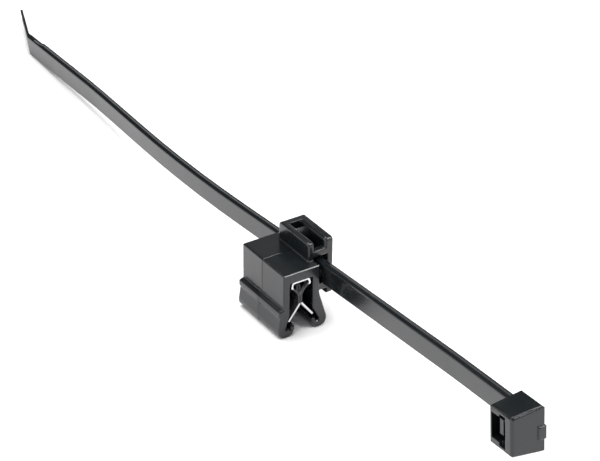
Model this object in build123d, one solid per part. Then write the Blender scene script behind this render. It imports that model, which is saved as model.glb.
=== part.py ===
"""Edge clip cable tie: a moulded clip that pushes onto a panel edge and grips it with a
folded steel insert, with a cable tie standing on edge in the saddle at the clip's side.

Millimetres, +Z up. X runs along the panel edge and along the strap, towards the tie's head.
The origin is straight below the throat that grips the panel, level with the two feet.
"""
import os
from math import cos, radians, sin

from build123d import *

# Housing: the block and its two legs, one section drawn in Y and Z and extruded along X
HOUSING_LENGTH = 14.2
BLOCK_WIDTH = 8.0
BLOCK_HEIGHT = 13.6
SIDE_WALL = 1.45
TOP_WEB = 2.15
EDGE_RADIUS = 0.25
END_CHAMFER = 0.2

# Rib along the outside of the left leg, which a fingertip or a tool pushes on
RIB_TOP = 6.25
RIB_HEIGHT = 1.35
RIB_REACH = 0.9
RIB_FALL = 0.3
RIB_RADIUS = 0.35
NECK_SETBACK = 0.37
NECK_DROP = 0.54
NECK_RADIUS = 0.27

# Feet: each leg ends in a rounded foot that turns up inside as a lip
LEFT_FOOT_WIDTH = 3.5
RIGHT_FOOT_WIDTH = 3.25
FOOT_RADIUS = 1.5
FLARE_FOOT = 2.0
LEFT_FLARE = 1.0
RIGHT_FLARE = 1.65
RIGHT_FLARE_TOP = 7.4
RIGHT_FLARE_RADIUS = 4.0
KNEE_RADIUS = 1.0
LIP_THICKNESS = 0.75
LIP_HEIGHT = 2.5
LIP_TIP_RADIUS = 0.25
POCKET_FLOOR = 1.45
POCKET_TOP = 4.6
POCKET_RADIUS = 0.3

# Steel insert: one strip folded to an hourglass section that pinches the panel
SHEET = 0.35
INSERT_END_INSET = 0.3
INSERT_SIDE_GAP = 0.4
SHOULDER_DROP = 1.4
SHOULDER_SPLAY = 0.2
LEG_KNEE = (0.72, 9.0)
THROAT_TOP = 8.1
THROAT_BOTTOM = 6.3
THROAT_GAP = 0.2
FLARE_END = 3.2
FLARE_SPREAD = 0.1
BEND_RADIUS = 0.45
WAIST_INSET = 0.25
BITE_INSET = 0.6
BITE_RIB = 2.4
BITE_TOP = 10.1
BITE_TOOTH_DEPTH = 0.35
BITE_TEETH = 4

# Saddle: the loop that carries the strap on its edge beside the block
SADDLE_LENGTH = 10.1
SADDLE_TOP = 17.35
SADDLE_FOOT = 5.1
CHANNEL_WIDTH = 2.9
NEAR_WALL = 1.3
FAR_WALL = 1.35
FAR_WALL_TOP_EXTRA = 0.5
FAR_WALL_TOP_CHAMFER = 0.4
SADDLE_CORNER = 0.7
SADDLE_EDGE = 0.2
BACK_BAR_DEPTH = 1.75
BACK_BAR_HEIGHT = 1.7
FRONT_BAR_DEPTH = 1.45
FRONT_BAR_TOP = 15.35
FRONT_BAR_HEIGHT = 1.25
LOW_BAR_DEPTH = 1.9
LOW_BAR_FOOT = 6.55
LOW_BAR_HEIGHT = 1.2

# Tie: the strap's route seen along its own width, then its lean and its rise
STRAP_WIDTH = 4.6
STRAP_BODY = 1.15
TOOTH_HEIGHT = 0.4
TOOTH_PITCH = 1.0
TOOTH_GAP = 0.2
RAIL_WIDTH = 0.5
STRAP_EDGE = 0.1
STRAP_ROUND = 0.5
RAIL_ROUND = 0.25
CHANNEL_CLEARANCE = 0.4
REAR_NEAR_RUN = 43.0
REAR_MIDDLE_RUN = 45.0
REAR_END_RUN = 34.6
REAR_TURNS = (4.9, -1.7, 18.9)
FRONT_NEAR_RUN = 8.0
FRONT_MIDDLE_RUN = 40.0
FRONT_END_RUN = 17.8
FRONT_TURNS = (-0.75, -1.1, 0.0)
STRAP_RADIUS = 500.0
ROUTE_STEPS = 24
TAIL_RADIUS = 2.0
TAIL_LENGTH = 18.5
TAIL_TAPER = 15.0
TAIL_TIP_WIDTH = 1.6
TAIL_TIP_RADIUS = 0.7
TAIL_THICKNESS = 0.7
TAIL_TIP_THICKNESS = 0.6
TAIL_PLAIN = 7.0
TAIL_BEND_REACH = 1.0
HEAD_PLAIN = 6.0
STRAP_RISE = 4.22
STRAP_LEAN = 5.7
HEAD_TWIST = -4.5

# Head: a box on the smooth side of the strap, with the slot and the pawl inside
HEAD_LENGTH = 6.3
HEAD_DEPTH = 6.45
HEAD_LIP = 0.05
HEAD_NEAR_TOP = 3.8
HEAD_NEAR_FOOT = 4.0
HEAD_FAR_TOP = 4.35
HEAD_FAR_FOOT = 4.9
HEAD_CORNER = 0.6
HEAD_EDGE = 0.4
HEAD_END_DRAFT = 0.35
SLOT_START = 2.45
SLOT_GAP = 1.75
SLOT_WIDTH = 5.0
MOUTH_WIDTH = 6.2
MOUTH_DEPTH = 0.7
ROOT_WALL = 0.3
PAWL_GAP = 1.25
PAWL_THICKNESS = 0.75
PAWL_WIDTH = 3.2
PAWL_RECESS = 0.8
PAWL_TOOTH = 0.35
PAWL_TEETH = 3
GATE_DEPTH = 1.1
GATE_ACROSS = 1.7
GATE_HEIGHT = 2.7
GATE_STAND = 0.3
GATE_DROP = 0.8
GATE_RADIUS = 0.25

# How far a cut runs on past the face that it opens
CUT_PAST = 1.0

HALF_LENGTH = HOUSING_LENGTH / 2
HALF_BLOCK = BLOCK_WIDTH / 2
CAVITY_HALF = HALF_BLOCK - SIDE_WALL
CAVITY_TOP = BLOCK_HEIGHT - TOP_WEB
CHANNEL_FAR = HALF_BLOCK + CHANNEL_WIDTH
SADDLE_HALF = SADDLE_LENGTH / 2
STRAP_THICKNESS = STRAP_BODY + TOOTH_HEIGHT
BOTH_SIDES = (-1, 1)


def box_between(low, high):
    """A box from its lowest corner to its highest corner."""
    size = [b - a for a, b in zip(low, high)]
    middle = [(a + b) / 2 for a, b in zip(low, high)]
    return Pos(*middle) * Box(*size)


def outline(points, radii):
    """A closed outline through the points, each corner rounded by its own radius (0 is sharp)."""
    face = make_face(Polyline(*points, close=True))
    for radius in sorted(set(radii) - {0}):
        corners = [Vector(*p) for p, r in zip(points, radii) if r == radius]
        picked = [v for v in face.vertices() if any((Vector(*v) - c).length < 1e-4 for c in corners)]
        face = fillet(picked, radius)
    return face


def along_x(face, length):
    """Extrude an outline that was drawn as (Y, Z) by length along X, centred on X = 0."""
    return extrude(Plane.YZ * face, length / 2, both=True)


def leg_outline(side, flare, foot_width, ribbed):
    """Half of the clip's section: one leg from the web down to its foot, seen along X."""
    outer = HALF_BLOCK
    foot_outer = outer + flare
    foot_inner = foot_outer - foot_width
    pocket_inner = foot_inner + LIP_THICKNESS
    pocket_outer = foot_outer - SIDE_WALL
    points = [(0, BLOCK_HEIGHT), (outer, BLOCK_HEIGHT)]
    radii = [0, EDGE_RADIUS]
    if ribbed:
        rib = outer + RIB_REACH
        points += [(outer, RIB_TOP), (rib, RIB_TOP - RIB_FALL), (rib, RIB_TOP - RIB_HEIGHT),
                   (foot_outer - NECK_SETBACK, RIB_TOP - RIB_HEIGHT - NECK_DROP)]
        radii += [0, RIB_RADIUS, RIB_RADIUS, NECK_RADIUS]
    else:
        points += [(outer, RIGHT_FLARE_TOP)]
        radii += [RIGHT_FLARE_RADIUS]
    points += [(foot_outer, FLARE_FOOT), (foot_outer, 0), (foot_inner, 0),
               (foot_inner, LIP_HEIGHT), (pocket_inner, LIP_HEIGHT - LIP_THICKNESS / 2),
               (pocket_inner, POCKET_FLOOR), (pocket_outer, POCKET_FLOOR),
               (CAVITY_HALF, POCKET_TOP), (CAVITY_HALF, CAVITY_TOP), (0, CAVITY_TOP)]
    radii += [KNEE_RADIUS, FOOT_RADIUS, FOOT_RADIUS, POCKET_RADIUS, LIP_TIP_RADIUS,
              POCKET_RADIUS, POCKET_RADIUS, KNEE_RADIUS, EDGE_RADIUS, 0]
    return outline([(side * y, z) for y, z in points], radii)


def housing_block():
    """The block and its two legs, with the edges of both ends broken."""
    section = leg_outline(-1, LEFT_FLARE, LEFT_FOOT_WIDTH, True)
    section += leg_outline(1, RIGHT_FLARE, RIGHT_FOOT_WIDTH, False)
    block = along_x(section, HOUSING_LENGTH)
    for end in (0, -1):
        block = chamfer(block.faces().sort_by(Axis.X)[end].outer_wire().edges(), END_CHAMFER)
    return block


def saddle_plate(y_low, y_high, z_low):
    """One upright wall of the saddle, its free corners rounded."""
    plate = box_between((-SADDLE_HALF, y_low, z_low), (SADDLE_HALF, y_high, SADDLE_TOP))
    corners = plate.edges().filter_by(Axis.Y).group_by(Axis.Z)[-1]
    plate = fillet(corners, SADDLE_CORNER)
    if z_low < BLOCK_HEIGHT:
        plate = fillet(plate.edges().filter_by(Axis.Y).group_by(Axis.Z)[0], SADDLE_CORNER)
    rim = plate.faces().sort_by(Axis.Z)[-1].edges().filter_by(Axis.X)
    return chamfer(rim, SADDLE_EDGE)


def saddle():
    """The loop for the strap: two upright walls, two bars across the top, two below."""
    inner = HALF_BLOCK
    near = saddle_plate(inner - NEAR_WALL, inner, BLOCK_HEIGHT - TOP_WEB / 2)
    far = saddle_plate(CHANNEL_FAR, CHANNEL_FAR + FAR_WALL, SADDLE_FOOT)
    bar_under = FRONT_BAR_TOP - FRONT_BAR_HEIGHT
    liner = box_between((-SADDLE_HALF, CHANNEL_FAR - FAR_WALL_TOP_EXTRA, bar_under),
                        (SADDLE_HALF, CHANNEL_FAR + FAR_WALL / 2, SADDLE_TOP))
    liner = fillet(liner.edges().filter_by(Axis.Y).group_by(Axis.Z)[-1], SADDLE_CORNER)
    front_inner = liner.faces().sort_by(Axis.X)[-1].edges().sort_by(Axis.Y)[0]
    liner = chamfer(front_inner, FAR_WALL_TOP_CHAMFER)
    across = (inner - NEAR_WALL / 2, CHANNEL_FAR + FAR_WALL / 2)
    back = box_between((-SADDLE_HALF, across[0], SADDLE_TOP - BACK_BAR_HEIGHT),
                       (-SADDLE_HALF + BACK_BAR_DEPTH, across[1], SADDLE_TOP))
    back = fillet(back.edges().filter_by(Axis.Y).sort_by(Axis.X)[0:2].sort_by(Axis.Z)[-1],
                  SADDLE_CORNER)
    front = box_between((SADDLE_HALF - FRONT_BAR_DEPTH, across[0], bar_under),
                        (SADDLE_HALF, across[1], FRONT_BAR_TOP))
    front = fillet(front.edges().filter_by(Axis.Y).group_by(Axis.Z)[-1], SADDLE_EDGE)
    loop = near + far + liner + back + front
    for end in BOTH_SIDES:
        edge = end * SADDLE_HALF
        inside = edge - end * LOW_BAR_DEPTH
        loop += box_between((min(edge, inside), across[0], LOW_BAR_FOOT),
                            (max(edge, inside), across[1], LOW_BAR_FOOT + LOW_BAR_HEIGHT))
    return loop


def clip_housing():
    """The whole moulding."""
    return housing_block() + saddle()


def insert_section():
    """The insert's folded strip seen from its end, as a ribbon one sheet thick."""
    top = CAVITY_TOP - SHEET / 2
    shoulder = CAVITY_HALF - INSERT_SIDE_GAP - SHEET / 2
    throat = (THROAT_GAP + SHEET) / 2
    half = [(0, top), (shoulder - SHOULDER_SPLAY, top), (shoulder, top - SHOULDER_DROP + SHEET),
            LEG_KNEE, (throat, THROAT_TOP), (throat, THROAT_BOTTOM),
            (CAVITY_HALF + FLARE_SPREAD, FLARE_END)]
    section = None
    for side in BOTH_SIDES:
        line = FilletPolyline(*[(side * y, z) for y, z in half], radius=BEND_RADIUS)
        ribbon = trace(line, SHEET)
        section = ribbon if section is None else section + ribbon
    return section


def bite_plate(side, start, end):
    """One upright tongue, left in the throat's plane, with teeth along its free edge."""
    throat = (THROAT_GAP + SHEET) / 2
    step = (end - start) / BITE_TEETH
    points = [(start, THROAT_TOP - BEND_RADIUS)]
    for tooth in range(BITE_TEETH):
        left = start + tooth * step
        points += [(left, BITE_TOP - BITE_TOOTH_DEPTH), (left + step / 2, BITE_TOP)]
    points += [(end, BITE_TOP - BITE_TOOTH_DEPTH), (end, THROAT_TOP - BEND_RADIUS)]
    face = make_face(Polyline(*points, close=True))
    plate = extrude(Plane.XZ * face, SHEET / 2, both=True)
    return Pos(0, side * throat, 0) * plate


def spring_insert():
    """The steel strip: folded section, waisted ends, and four toothed tongues that bite."""
    half = HALF_LENGTH - INSERT_END_INSET
    strip = along_x(insert_section(), 2 * half)
    shoulder_foot = CAVITY_TOP - SHOULDER_DROP
    for end in BOTH_SIDES:
        edge = end * half
        inside = edge - end * WAIST_INSET
        strip -= box_between((min(edge, inside), -HALF_BLOCK, THROAT_BOTTOM + SHEET / 2),
                             (max(edge, inside), HALF_BLOCK, shoulder_foot))
    bite_start = BITE_RIB / 2
    bite_end = half - WAIST_INSET - BITE_INSET
    for end in BOTH_SIDES:
        low, high = sorted((end * bite_start, end * bite_end))
        strip -= box_between((low, -HALF_BLOCK, THROAT_TOP), (high, HALF_BLOCK, shoulder_foot))
        for side in BOTH_SIDES:
            strip += bite_plate(side, low, high)
    return strip


def corners(direction, lengths, turns):
    """The corners of a chain of straights from X = 0, and the way that it heads after the last."""
    point = Vector(0, 0)
    angle = 0
    found = []
    for length, turn in zip(lengths, turns):
        point = point + Vector(direction * length, 0).rotate(Axis.Z, direction * angle)
        angle += turn
        found.append(point)
    return found, Vector(direction, 0).rotate(Axis.Z, direction * angle)


def strap_route():
    """The strap's middle line, seen along its width, from the tip of the tail to the head."""
    rear, tail_way = corners(-1, (REAR_NEAR_RUN, REAR_MIDDLE_RUN, REAR_END_RUN), REAR_TURNS)
    front, _ = corners(1, (FRONT_NEAR_RUN, FRONT_MIDDLE_RUN, FRONT_END_RUN), FRONT_TURNS)
    points = [rear[-1] + tail_way * TAIL_LENGTH, *reversed(rear), *front]
    radii = [TAIL_RADIUS] + [STRAP_RADIUS] * (len(points) - 3)
    return FilletPolyline(*points, radius=radii)


def beside(route, length, height):
    """A point beside the route: so far along it, and so far out on the toothed side."""
    length = min(max(length, 0), route.length)
    point = route.position_at(length, position_mode=PositionMode.LENGTH)
    along = route.tangent_at(length, position_mode=PositionMode.LENGTH)
    return point + Vector(-along.Y, along.X) * height


def tooth_cutter(route):
    """What is cut between the two rails: the gaps between teeth and the plain run to the head."""
    crest = STRAP_THICKNESS / 2
    root = crest - TOOTH_HEIGHT
    clear = crest + TOOTH_HEIGHT
    first = TAIL_LENGTH + TAIL_PLAIN
    teeth = int((route.length - HEAD_PLAIN - first) // TOOTH_PITCH)
    points = [beside(route, first, clear), beside(route, first, root)]
    for tooth in range(teeth):
        start = first + tooth * TOOTH_PITCH
        points += [beside(route, start + TOOTH_PITCH - TOOTH_GAP, crest),
                   beside(route, start + TOOTH_PITCH, root)]
    last = first + teeth * TOOTH_PITCH
    points += [beside(route, last + HEAD_PLAIN, root), beside(route, last + HEAD_PLAIN, clear)]
    points += [beside(route, first + (last - first) * step / ROUTE_STEPS, clear)
               for step in range(ROUTE_STEPS, 0, -1)]
    return extrude(make_face(Polyline(*points, close=True)), STRAP_WIDTH / 2 - RAIL_WIDTH, both=True)


def tail_cutter(route):
    """What is cut from the toothed side of the tail, across its width, so that it threads easily."""
    crest = STRAP_THICKNESS / 2
    first = TAIL_LENGTH + TAIL_PLAIN
    bend = (TAIL_LENGTH - TAIL_BEND_REACH, TAIL_LENGTH + TAIL_BEND_REACH)
    points = [beside(route, 0, TAIL_TIP_THICKNESS - crest), beside(route, bend[0], TAIL_THICKNESS - crest)]
    points += [beside(route, length, crest - TOOTH_HEIGHT) for length in (bend[1], first - TOOTH_PITCH)]
    points += [beside(route, first, crest)]
    points += [beside(route, length, crest + TOOTH_HEIGHT) for length in (first, *reversed(bend), 0)]
    return extrude(make_face(Polyline(*points, close=True)), STRAP_WIDTH, both=True)


def strap_section(route):
    """The strap cut across, with both of its upper edges well rounded."""
    along = route.tangent_at(0)
    plane = Plane(origin=route.position_at(0), x_dir=Vector(-along.Y, along.X), z_dir=along)
    out, up = STRAP_THICKNESS / 2, STRAP_WIDTH / 2
    return plane * outline([(-out, up), (out, up), (out, -up), (-out, -up)],
                           [STRAP_ROUND, RAIL_ROUND, STRAP_EDGE, STRAP_EDGE])


def strap(route):
    """The strap on its edge: smooth on one side, ratchet teeth on the other, a pointed tail."""
    band = sweep(strap_section(route), path=route) - tooth_cutter(route) - tail_cutter(route)
    along = route.tangent_at(0)
    plane = Plane(origin=route.position_at(0), x_dir=along, z_dir=Vector(-along.Y, along.X))
    tip, full = TAIL_TIP_WIDTH / 2, STRAP_WIDTH / 2
    kept = outline([(0, tip), (TAIL_TAPER, full), (TAIL_TAPER, -full), (0, -tip)],
                   [TAIL_TIP_RADIUS, 0, 0, TAIL_TIP_RADIUS])
    around = make_face(Polyline((-CUT_PAST, STRAP_WIDTH), (TAIL_TAPER, STRAP_WIDTH),
                                (TAIL_TAPER, -STRAP_WIDTH), (-CUT_PAST, -STRAP_WIDTH), close=True))
    return band - extrude(plane * (around - kept), STRAP_WIDTH, both=True)


def pawl():
    """The toothed tongue that springs aside inside the head, rooted beside the strap."""
    root_side = ROOT_WALL + PAWL_GAP
    face = root_side + PAWL_THICKNESS
    far = STRAP_THICKNESS / 2 + HEAD_LIP
    end = far - HEAD_DEPTH + PAWL_RECESS
    root = -STRAP_THICKNESS / 2
    points = [(root_side, root), (root_side, end)]
    for tooth in range(PAWL_TEETH):
        start = end + tooth * TOOTH_PITCH
        points += [(face, start), (face + PAWL_TOOTH, start)]
    points += [(face, end + PAWL_TEETH * TOOTH_PITCH), (face, root)]
    return extrude(make_face(Polyline(*points, close=True)), PAWL_WIDTH / 2, both=True)


def head():
    """The head with its slot, its pawl and the gate mark, where X leads away from the strap."""
    far = STRAP_THICKNESS / 2 + HEAD_LIP
    near = far - HEAD_DEPTH
    section = Polyline((near, -HEAD_NEAR_FOOT), (near, HEAD_NEAR_TOP),
                       (far, HEAD_FAR_TOP), (far, -HEAD_FAR_FOOT), close=True)
    block = extrude(Plane.YZ * make_face(section), HEAD_LENGTH)
    beyond = HEAD_LENGTH + CUT_PAST
    draft = Polyline((HEAD_LENGTH, far), (HEAD_LENGTH - HEAD_END_DRAFT, near), (beyond, near),
                     (beyond, far), close=True)
    block -= extrude(make_face(draft), HEAD_FAR_FOOT + CUT_PAST, both=True)
    upright = block.edges().filter_by(Axis.Z)
    outer_near = upright.sort_by(Axis.X)[2:].sort_by(Axis.Y)[0]
    block = fillet(outer_near, HEAD_CORNER)
    rims = block.faces().sort_by(Axis.Z)[0].edges() + block.faces().sort_by(Axis.Z)[-1].edges()
    block = chamfer(rims, HEAD_EDGE)
    slot_end = SLOT_START + SLOT_GAP
    pocket_end = -STRAP_THICKNESS / 2
    open_near, open_far = near - CUT_PAST, far + CUT_PAST
    block -= box_between((SLOT_START, open_near, -SLOT_WIDTH / 2), (slot_end, open_far, SLOT_WIDTH / 2))
    block -= box_between((SLOT_START, open_near, -MOUTH_WIDTH / 2),
                         (slot_end, near + MOUTH_DEPTH, MOUTH_WIDTH / 2))
    block -= box_between((ROOT_WALL, open_near, -SLOT_WIDTH / 2),
                         (SLOT_START, pocket_end, SLOT_WIDTH / 2))
    gate_end = HEAD_LENGTH + GATE_STAND
    gate_far = far + GATE_STAND
    gate = box_between((gate_end - GATE_DEPTH, gate_far - GATE_ACROSS, -GATE_DROP - GATE_HEIGHT / 2),
                       (gate_end, gate_far, -GATE_DROP + GATE_HEIGHT / 2))
    gate = fillet(gate.edges(), GATE_RADIUS)
    return block + gate + pawl()


def cable_tie():
    """Strap and head as one moulding, leaning in the saddle with the tail on the floor."""
    route = strap_route()
    head_end = Plane(origin=route.position_at(1), x_dir=route.tangent_at(1), z_dir=(0, 0, 1))
    tie = strap(route) + head_end * Rot(HEAD_TWIST, 0, 0) * head()
    tie = Rot(0, -STRAP_RISE, 0) * Rot(STRAP_LEAN, 0, 0) * tie
    lean = radians(STRAP_LEAN)
    reach = cos(lean) * STRAP_THICKNESS / 2 + sin(lean) * STRAP_WIDTH / 2
    beside_block = HALF_BLOCK + CHANNEL_CLEARANCE + reach
    return Pos(0, beside_block, -tie.bounding_box().min.Z) * tie


def main():
    """Build each piece and write it to its own file."""
    os.makedirs("parts", exist_ok=True)
    pieces = {"clip_housing": clip_housing(), "spring_insert": spring_insert(), "cable_tie": cable_tie()}
    for name, solid in pieces.items():
        export_step(solid, f"parts/{name}.step")


main()
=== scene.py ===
"""The edge clip cable tie as it is sold: clip, spring insert and tie, standing on a white table."""
import math

import bmesh
import bpy
from mathutils import Matrix, Vector


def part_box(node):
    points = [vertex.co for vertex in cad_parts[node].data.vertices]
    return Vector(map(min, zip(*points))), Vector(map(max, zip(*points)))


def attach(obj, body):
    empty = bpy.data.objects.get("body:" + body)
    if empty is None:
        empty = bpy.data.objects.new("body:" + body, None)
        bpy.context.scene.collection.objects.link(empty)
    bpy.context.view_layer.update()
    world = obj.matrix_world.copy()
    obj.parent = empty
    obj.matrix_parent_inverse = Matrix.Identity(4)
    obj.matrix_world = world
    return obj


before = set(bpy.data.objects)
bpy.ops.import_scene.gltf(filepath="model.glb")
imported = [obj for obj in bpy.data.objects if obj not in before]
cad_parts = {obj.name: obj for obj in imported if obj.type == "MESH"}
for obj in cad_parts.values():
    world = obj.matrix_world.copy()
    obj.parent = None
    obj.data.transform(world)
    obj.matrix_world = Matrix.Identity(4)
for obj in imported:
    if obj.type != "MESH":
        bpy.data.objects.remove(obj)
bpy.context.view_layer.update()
scene = bpy.context.scene
scene.view_settings.view_transform = "Standard"
MM = 0.001


# Clip housing. One black polyamide moulding, the part that pushes onto the panel's edge. Its tool
# leaves it satin, with a fine spark-eroded grain and a small radius along every edge.
def linear(hex_colour):
    """An sRGB colour written as hex, as the linear numbers that a shader takes."""
    values = [int(hex_colour[i:i + 2], 16) / 255 for i in (0, 2, 4)]
    values = [v / 12.92 if v <= 0.04045 else ((v + 0.055) / 1.055) ** 2.4 for v in values]
    return (*values, 1.0)


def add(tree, kind, settings=None, **inputs):
    """Adds a node with its settings, and sets or links its inputs, given by name or by place.

    A node given as an input is linked by its first output.
    """
    node = tree.nodes.new(kind)
    for name, value in (settings or {}).items():
        setattr(node, name, value)
    for name, value in inputs.items():
        socket = node.inputs[int(name[1:])] if name[0] == "_" else node.inputs[name.replace("_", " ")]
        if isinstance(value, bpy.types.Node):
            value = value.outputs[0]
        if isinstance(value, bpy.types.NodeSocket):
            tree.links.new(value, socket)
        else:
            socket.default_value = value
    return node


def new_material(name):
    """An empty material and its node tree."""
    material = bpy.data.materials.new(name)
    material.use_nodes = True
    material.node_tree.nodes.clear()
    return material, material.node_tree


NYLON_BLACK = "0f1315"
NYLON_IOR = 1.53
CLIP_ROUGHNESS = 0.24
CLIP_GRAIN = 0.25 * MM
CLIP_GRAIN_HEIGHT = 0.004 * MM
SEAM_X = -0.3 * MM
DRAFT = 1.5

# The shallow hollows that a thick wall sinks into as it cools, and the share by which the gloss
# wanders with them. Nearly all values of a noise texture lie between the two given here.
SLUMP = 6.0 * MM
SLUMP_DEPTH = 0.02 * MM
GLOSS_SPREAD = 0.12
NOISE_LOW = 0.3
NOISE_HIGH = 0.7

# The broken edge is cut into the mesh. The wider round is shading alone, and shrinks at the clip's
# two ends, over the last stretch before CLIP_END.
CLIP_EDGE = 0.06 * MM
CLIP_ROUND = 0.5 * MM
CLIP_END_ROUND = 0.15 * MM
CLIP_END = 6.9 * MM
CLIP_END_BLEND = 0.5 * MM
ROUND_SAMPLES = 8

# Points nearer than SAME_POINT are one. Faces turned less than FLAT_ANGLE are one flat face, edges
# over CRISP_ANGLE are broken, and edges over SHARP_ANGLE stay sharp in the shading, in degrees.
SAME_POINT = 0.0005 * MM
FLAT_ANGLE = 0.3
CRISP_ANGLE = 50
SHARP_ANGLE = 40
EDGE_STEPS = 3


def moulded_nylon(name, roughness, grain, grain_height, round_edge=0.0, round_end=0.0, draft=0.0):
    """Black polyamide from a tool: satin, lightly grained, and tapering by its draft from the seam."""
    material, tree = new_material(name)
    place = add(tree, "ShaderNodeTexCoord").outputs["Object"]
    x = add(tree, "ShaderNodeSeparateXYZ", _0=place).outputs["X"]

    # The radius along every edge, which shows as a soft light or dark line.
    from_middle = add(tree, "ShaderNodeMath", {"operation": "ABSOLUTE"}, _0=x)
    radius = add(tree, "ShaderNodeMapRange", _0=from_middle, _1=CLIP_END - CLIP_END_BLEND, _2=CLIP_END,
                 _3=round_edge, _4=round_end)
    rounded = add(tree, "ShaderNodeBevel", {"samples": ROUND_SAMPLES}, Radius=radius)

    # The draft that lets the two halves of the tool go: the faces on each side of the seam mirror
    # different bits of the room.
    from_seam = add(tree, "ShaderNodeMath", {"operation": "SUBTRACT"}, _0=x, _1=SEAM_X)
    away = add(tree, "ShaderNodeMath", {"operation": "ABSOLUTE"}, _0=from_seam)
    taper = add(tree, "ShaderNodeBump", {"invert": True}, Height=away,
                Distance=math.tan(math.radians(draft)), Normal=rounded)

    # Hollows that make the reflections waver, and over them a grain that breaks up the highlights.
    broad = add(tree, "ShaderNodeTexNoise", Vector=place, Scale=1 / SLUMP, Detail=2.0)
    sink = add(tree, "ShaderNodeBump", Height=broad, Distance=SLUMP_DEPTH, Normal=taper)
    fine = add(tree, "ShaderNodeTexNoise", Vector=place, Scale=1 / grain, Detail=3.0, Roughness=0.6)
    bump = add(tree, "ShaderNodeBump", Height=fine, Distance=grain_height, Normal=sink)
    gloss = add(tree, "ShaderNodeMapRange", _0=broad, _1=NOISE_LOW, _2=NOISE_HIGH,
                _3=roughness * (1 - GLOSS_SPREAD), _4=roughness * (1 + GLOSS_SPREAD))
    shader = add(tree, "ShaderNodeBsdfPrincipled", Base_Color=linear(NYLON_BLACK), IOR=NYLON_IOR,
                 Roughness=gloss, Normal=bump)
    add(tree, "ShaderNodeOutputMaterial", Surface=shader)
    return material


def node_modifier(piece, name, build):
    """Adds a Geometry Nodes step to a piece; build takes the tree and the incoming geometry."""
    tree = bpy.data.node_groups.new(f"{name}_{piece.name}", "GeometryNodeTree")
    tree.interface.new_socket("Geometry", in_out="INPUT", socket_type="NodeSocketGeometry")
    tree.interface.new_socket("Geometry", in_out="OUTPUT", socket_type="NodeSocketGeometry")
    start = add(tree, "NodeGroupInput")
    add(tree, "NodeGroupOutput", Geometry=build(tree, start))
    modifier = piece.modifiers.new(name, "NODES")
    modifier.node_group = tree


def weld(tree, geometry):
    """Joins loose triangles into one skin."""
    return add(tree, "GeometryNodeMergeByDistance", Geometry=geometry, Distance=SAME_POINT)


def shade(tree, geometry):
    """Shades gentle bends smooth and keeps real corners sharp."""
    smooth = add(tree, "GeometryNodeSetShadeSmooth", Geometry=geometry)
    edge = add(tree, "GeometryNodeInputMeshEdgeAngle")
    sharp = add(tree, "FunctionNodeCompare", _0=edge, _1=math.radians(SHARP_ANGLE))
    return add(tree, "GeometryNodeSetShadeSmooth", {"domain": "EDGE"}, Geometry=smooth,
               Selection=sharp, Shade_Smooth=False)


def finish_edges(piece, radius):
    """Breaks the crisp corners of a CAD node by a small radius, as a tool or a tumbler leaves them."""
    node_modifier(piece, "weld", weld)
    flat = piece.modifiers.new("flat", "DECIMATE")
    flat.decimate_type = "DISSOLVE"
    flat.angle_limit = math.radians(FLAT_ANGLE)
    bevel = piece.modifiers.new("broken edge", "BEVEL")
    bevel.width = radius
    bevel.segments = EDGE_STEPS
    bevel.limit_method = "ANGLE"
    bevel.angle_limit = math.radians(CRISP_ANGLE)
    bevel.miter_outer = "MITER_ARC"
    node_modifier(piece, "shade", shade)
    even = piece.modifiers.new("even", "WEIGHTED_NORMAL")
    even.keep_sharp = True


def dress(piece, material):
    """Gives a CAD node its finish."""
    piece.data.materials.clear()
    piece.data.materials.append(material)


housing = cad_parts["clip_housing"]
dress(housing, moulded_nylon("black polyamide, grained", CLIP_ROUGHNESS, CLIP_GRAIN, CLIP_GRAIN_HEIGHT,
                             CLIP_ROUND, CLIP_END_ROUND, DRAFT))
finish_edges(housing, CLIP_EDGE)


# Parting line. A hair-fine ridge of flash all round the clip's section, a little behind its middle,
# where the two halves of the mould met. It belongs to the same moulding.
SEAM_WIDTH = 0.14 * MM
SEAM_HEIGHT = 0.07 * MM
SEAM_ROOT = 0.02 * MM


def section_loops(mesh, x):
    """The closed loops in which a plane at x cuts a mesh, as (point, outward way) pairs in order."""
    skin = bmesh.new()
    skin.from_mesh(mesh)
    bmesh.ops.remove_doubles(skin, verts=skin.verts, dist=SAME_POINT)
    everything = skin.verts[:] + skin.edges[:] + skin.faces[:]
    cut = bmesh.ops.bisect_plane(skin, geom=everything, plane_co=(x, 0, 0), plane_no=(1, 0, 0))
    edges = {e for e in cut["geom_cut"] if isinstance(e, bmesh.types.BMEdge)}
    loops = []
    while edges:
        edge = edges.pop()
        vertex = edge.verts[0]
        loop = []
        while edge:
            following = [e for e in vertex.link_edges if e in edges]
            beside = [edge] + following[:1]
            out = sum((f.normal for e in beside for f in e.link_faces), Vector())
            loop.append((vertex.co.copy(), out.normalized()))
            edge = following[0] if following else None
            edges.discard(edge)
            vertex = edge.other_vert(vertex) if edge else None
        loops.append(loop)
    skin.free()
    return loops


def bridge(skin, profile, after):
    """Makes the long faces of a ridge between two of its three-cornered profiles."""
    for corner in range(3):
        other = (corner + 1) % 3
        skin.faces.new((profile[corner], profile[other], after[other], after[corner]))


def skin_object(name, skin, material):
    """Makes a closed skin an object of its own."""
    bmesh.ops.recalc_face_normals(skin, faces=skin.faces)
    mesh = bpy.data.meshes.new(name)
    skin.to_mesh(mesh)
    skin.free()
    mesh.materials.append(material)
    piece = bpy.data.objects.new(name, mesh)
    scene.collection.objects.link(piece)
    return piece


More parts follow.
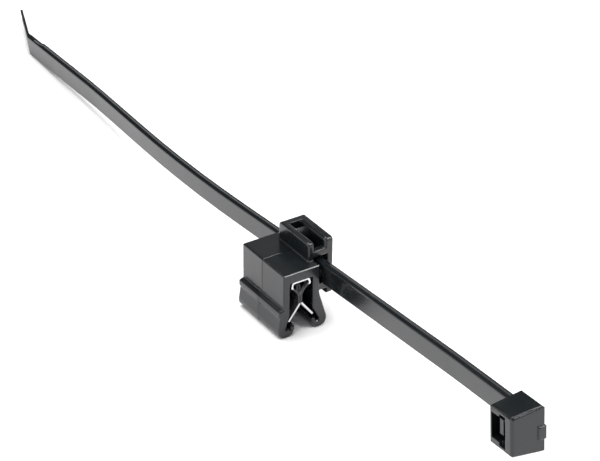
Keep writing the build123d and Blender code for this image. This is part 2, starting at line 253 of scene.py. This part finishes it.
low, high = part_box("clip_housing")
half_width = Vector((SEAM_WIDTH / 2, 0, 0))
flash = bmesh.new()
for loop in section_loops(housing.data, SEAM_X):
    profiles = []
    for point, out in loop:
        foot = point - out * SEAM_ROOT
        # The ridge stays inside the housing's own box, so the feet still stand on the table.
        crest = [min(max(c, a), b) for c, a, b in zip(point + out * SEAM_HEIGHT, low, high)]
        profiles.append([flash.verts.new(v) for v in (foot - half_width, foot + half_width, crest)])
    for profile, after in zip(profiles, profiles[1:] + profiles[:1]):
        bridge(flash, profile, after)
parting_line = skin_object("parting_line", flash, moulded_nylon(
    "black polyamide, flash", CLIP_ROUGHNESS, CLIP_GRAIN, CLIP_GRAIN_HEIGHT))
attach(parting_line, "clip")


# Spring insert. One strip of bright cold-rolled spring steel, folded cold and pushed into the housing.
# The rolling leaves faint lines along the strip, across the clip, and the punch leaves torn edges.
STEEL_GREY = "d8d9da"
STEEL_SMOOTHEST = 0.238
STEEL_ROUGHEST = 0.476
ROLLING_LINE = 0.06 * MM
ROLLING_LENGTH = 16.7 * MM
ROLLING_HEIGHT = 0.003 * MM
STEEL_EDGE = 0.03 * MM

# A face counts as punched if it lies within this of the middle and looks along the clip, or looks up
# from below the tongues' tops. Its roughness is the torn steel's own, but its dark grey is painted
# shade, standing for the shadow inside the cavity between the legs. The last two say how squarely it
# has to look that way.
PUNCHED_AND_SHADED_GREY = "4c4d4e"
PUNCHED_ROUGHNESS = 0.55
PUNCHED_AND_SHADED_WITHIN = 6.68 * MM
TONGUE_TOP = 10.3 * MM
LOOKS_ALONG = 0.6
LOOKS_UP = 0.8


def rolled_steel(name):
    """Bright rolled steel with fine lines across the clip, and torn edges, rough and painted dark as
    shade.
    """
    material, tree = new_material(name)
    where = add(tree, "ShaderNodeTexCoord")
    place = where.outputs["Object"]

    # The rolling lines, which draw the reflections out into streaks.
    scale = (1 / ROLLING_LINE, 1 / ROLLING_LENGTH, 1 / ROLLING_LENGTH)
    lines = add(tree, "ShaderNodeMapping", Vector=place, Scale=scale)
    brushed = add(tree, "ShaderNodeTexNoise", Vector=lines, Scale=1.0, Detail=2.0)
    gloss = add(tree, "ShaderNodeMapRange", _0=brushed, _1=NOISE_LOW, _2=NOISE_HIGH,
                _3=STEEL_SMOOTHEST, _4=STEEL_ROUGHEST)
    bump = add(tree, "ShaderNodeBump", Height=brushed, Distance=ROLLING_HEIGHT)

    # The punched edges and the faces looking up inside the clip: rougher, and painted darker as the
    # cavity's shade.
    at = add(tree, "ShaderNodeSeparateXYZ", _0=place).outputs
    facing = add(tree, "ShaderNodeSeparateXYZ", _0=where.outputs["Normal"]).outputs
    from_middle = add(tree, "ShaderNodeMath", {"operation": "ABSOLUTE"}, _0=at["X"])
    inside = add(tree, "ShaderNodeMath", {"operation": "LESS_THAN"}, _0=from_middle, _1=PUNCHED_AND_SHADED_WITHIN)
    along = add(tree, "ShaderNodeMath", {"operation": "ABSOLUTE"}, _0=facing["X"])
    end = add(tree, "ShaderNodeMath", {"operation": "GREATER_THAN"}, _0=along, _1=LOOKS_ALONG)
    up = add(tree, "ShaderNodeMath", {"operation": "GREATER_THAN"}, _0=facing["Z"], _1=LOOKS_UP)
    below = add(tree, "ShaderNodeMath", {"operation": "LESS_THAN"}, _0=at["Z"], _1=TONGUE_TOP)
    top = add(tree, "ShaderNodeMath", {"operation": "MULTIPLY"}, _0=up, _1=below)
    either = add(tree, "ShaderNodeMath", {"operation": "MAXIMUM"}, _0=end, _1=top)
    punched_and_shaded = add(tree, "ShaderNodeMath", {"operation": "MULTIPLY"}, _0=inside, _1=either)

    # Painted shade: the faces inside the cavity take the dark grey in place of the steel's own colour.
    colour = add(tree, "ShaderNodeMix", {"data_type": "RGBA"}, _0=punched_and_shaded,
                 _6=linear(STEEL_GREY), _7=linear(PUNCHED_AND_SHADED_GREY)).outputs[2]
    rough = add(tree, "ShaderNodeMix", _0=punched_and_shaded, _2=gloss, _3=PUNCHED_ROUGHNESS)
    shader = add(tree, "ShaderNodeBsdfPrincipled", Base_Color=colour, Metallic=1.0, Roughness=rough,
                 Normal=bump)
    add(tree, "ShaderNodeOutputMaterial", Surface=shader)
    return material


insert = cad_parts["spring_insert"]
dress(insert, rolled_steel("cold-rolled spring steel"))
finish_edges(insert, STEEL_EDGE)


# Cable tie. One black polyamide moulding from a polished tool, so it is a little glossier than the
# clip: strap, ratchet teeth, head, pawl and the stub of the gate it was filled through.
TIE_ROUGHNESS = 0.2
TIE_GRAIN = 0.5 * MM
TIE_GRAIN_HEIGHT = 0.003 * MM
TIE_EDGE = 0.05 * MM
TIE_ROUND = 0.25 * MM

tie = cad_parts["cable_tie"]
dress(tie, moulded_nylon("black polyamide, polished tool", TIE_ROUGHNESS, TIE_GRAIN, TIE_GRAIN_HEIGHT,
                         TIE_ROUND, TIE_ROUND))
finish_edges(tie, TIE_EDGE)


# The tie's parting line. Its tool opens across the strap, so a low ridge of flash runs along the
# middle of both edges of the strap, steep on the plain side and gentle towards the teeth. It belongs
# to the same moulding.
RIDGE_START = -119.0 * MM
RIDGE_END = 65.0 * MM
RIDGE_STEPS = 80
RIDGE_RISE = 0.09 * MM
RIDGE_ROOT = 0.02 * MM
STRAP_LEAN = math.radians(5.7)

# The ridge's foot on the plain side, its crest and its other foot, each from the toothed side.
RIDGE_NEAR = 0.86 * MM
RIDGE_CREST = 0.80 * MM
RIDGE_FAR = 0.36 * MM

through = Vector((0, math.cos(STRAP_LEAN), math.sin(STRAP_LEAN)))
upward = Vector((0, -math.sin(STRAP_LEAN), math.cos(STRAP_LEAN)))
section = ((RIDGE_NEAR, -RIDGE_ROOT), (RIDGE_CREST, RIDGE_RISE), (RIDGE_FAR, -RIDGE_ROOT))
flash = bmesh.new()
ridges = {1: [], -1: []}
for step in range(RIDGE_STEPS + 1):
    x = RIDGE_START + (RIDGE_END - RIDGE_START) * step / RIDGE_STEPS
    points = [point for loop in section_loops(tie.data, x) for point, out in loop]
    teeth = max(point.dot(through) for point in points)
    for side, profiles in ridges.items():
        edge = max(point.dot(upward) * side for point in points)
        corner = Vector((x, 0, 0)) + through * teeth + upward * edge * side
        profiles.append([flash.verts.new(corner - through * inset + upward * rise * side)
                         for inset, rise in section])
for profiles in ridges.values():
    flash.faces.new(profiles[0])
    flash.faces.new(profiles[-1])
    for profile, after in zip(profiles, profiles[1:]):
        bridge(flash, profile, after)
strap_parting_line = skin_object("strap_parting_line", flash, moulded_nylon(
    "black polyamide, flash of the tie", TIE_ROUGHNESS, TIE_GRAIN, TIE_GRAIN_HEIGHT))
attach(strap_parting_line, "tie")


# Table. A wide sheet of white card. Far from the object, where the panels' light runs out, the camera
# sees it as plain white, so the picture has no horizon; near the object it keeps its own shade.
TABLE_SIZE = 4.0
TABLE_WHITE = "f4f4f4"
FADE_FROM = 0.3
FADE_TO = 0.5

bpy.ops.mesh.primitive_plane_add(size=TABLE_SIZE)
table = bpy.context.object
table.name = "table"
card, tree = new_material("white card")
matt = add(tree, "ShaderNodeBsdfDiffuse", Color=linear(TABLE_WHITE))
plain = add(tree, "ShaderNodeEmission", Strength=1.0)
place = add(tree, "ShaderNodeTexCoord").outputs["Object"]
away = add(tree, "ShaderNodeVectorMath", {"operation": "LENGTH"}, _0=place).outputs["Value"]
fade = add(tree, "ShaderNodeMapRange", _0=away, _1=FADE_FROM, _2=FADE_TO)
seen = add(tree, "ShaderNodeLightPath").outputs["Is Camera Ray"]
part = add(tree, "ShaderNodeMath", {"operation": "MULTIPLY"}, _0=fade, _1=seen)
both = add(tree, "ShaderNodeMixShader", _0=part, _1=matt, _2=plain)
add(tree, "ShaderNodeOutputMaterial", Surface=both)
table.data.materials.append(card)


# Light. A dim room with a wide soft panel overhead and a small one behind on the right, for the lines
# of light on the front edges. Its wall behind is pale, and palest at the foot, and a large white
# screen in front lights the strap's plain side.
ROOM_DARK = 0.05
ROOM_BEHIND = 0.064
WALL_PALE = 0.368
FOOT_PALE = 0.8
SCREEN_WHITE = 2.3

# Where each part of the room fades in, from nothing to full, as the Y or Z of the way that one looks,
# which has length 1.
BEHIND_Y = (0.33, 0.54)
WALL_Z = (0.54, 0.49)
FOOT_Z = (0.35, 0.05)
SCREEN_Y = (-0.55, -0.90)

# Name, place and size in metres, and power in watts.
PANELS = (
    ("overhead", (-0.12, -0.05, 0.80), 0.70, 9.9),
    ("right", (0.46, 0.42, 0.60), 0.28, 3.6),
)

world = bpy.data.worlds.new("studio")
scene.world = world
world.use_nodes = True
tree = world.node_tree
tree.nodes.clear()
way = add(tree, "ShaderNodeTexCoord").outputs["Generated"]
way = add(tree, "ShaderNodeSeparateXYZ", _0=way).outputs
behind = add(tree, "ShaderNodeMapRange", _0=way["Y"], _1=BEHIND_Y[0], _2=BEHIND_Y[1])
wall = add(tree, "ShaderNodeMapRange", _0=way["Z"], _1=WALL_Z[0], _2=WALL_Z[1], _3=ROOM_BEHIND,
           _4=ROOM_BEHIND + WALL_PALE)
foot = add(tree, "ShaderNodeMapRange", _0=way["Z"], _1=FOOT_Z[0], _2=FOOT_Z[1], _4=FOOT_PALE)
pale = add(tree, "ShaderNodeMath", {"operation": "ADD"}, _0=wall, _1=foot)
screen = add(tree, "ShaderNodeMapRange", _0=way["Y"], _1=SCREEN_Y[0], _2=SCREEN_Y[1])
room = add(tree, "ShaderNodeMath", {"operation": "MULTIPLY_ADD"}, _0=behind, _1=pale, _2=ROOM_DARK)
room = add(tree, "ShaderNodeMath", {"operation": "MULTIPLY_ADD"}, _0=screen, _1=SCREEN_WHITE, _2=room)
seen = add(tree, "ShaderNodeLightPath").outputs["Is Camera Ray"]
strength = add(tree, "ShaderNodeMapRange", _0=seen, _3=room, _4=1.0)
sky = add(tree, "ShaderNodeBackground", Color=(1, 1, 1, 1), Strength=strength)
add(tree, "ShaderNodeOutputWorld", Surface=sky)
for name, place, size, power in PANELS:
    light = bpy.data.lights.new(name, "AREA")
    light.size = size
    light.energy = power
    lamp = bpy.data.objects.new(name, light)
    lamp.location = place
    lamp.rotation_euler = Vector(place).to_track_quat("Z", "Y").to_euler()
    scene.collection.objects.link(lamp)


# Camera. A long lens above and to the right of the clip's front, as in the photograph. Its place, its
# turn and its lens were solved from the edges of the clip's block and of the strap.
VIEW_RIGHT = Vector((0.54972, 0.83528, 0.01030))
VIEW_UP = Vector((-0.43746, 0.27736, 0.85540))
VIEW_PLACE = Vector((303.838, -198.541, 238.463)) * MM
LENS = 137.71
SENSOR = 36.0

lens = bpy.data.cameras.new("camera")
lens.lens = LENS
lens.sensor_width = SENSOR
camera = bpy.data.objects.new("camera", lens)
turn = Matrix((VIEW_RIGHT, VIEW_UP, VIEW_RIGHT.cross(VIEW_UP))).transposed()
camera.matrix_world = Matrix.Translation(VIEW_PLACE) @ turn.to_4x4()
scene.collection.objects.link(camera)
scene.camera = camera
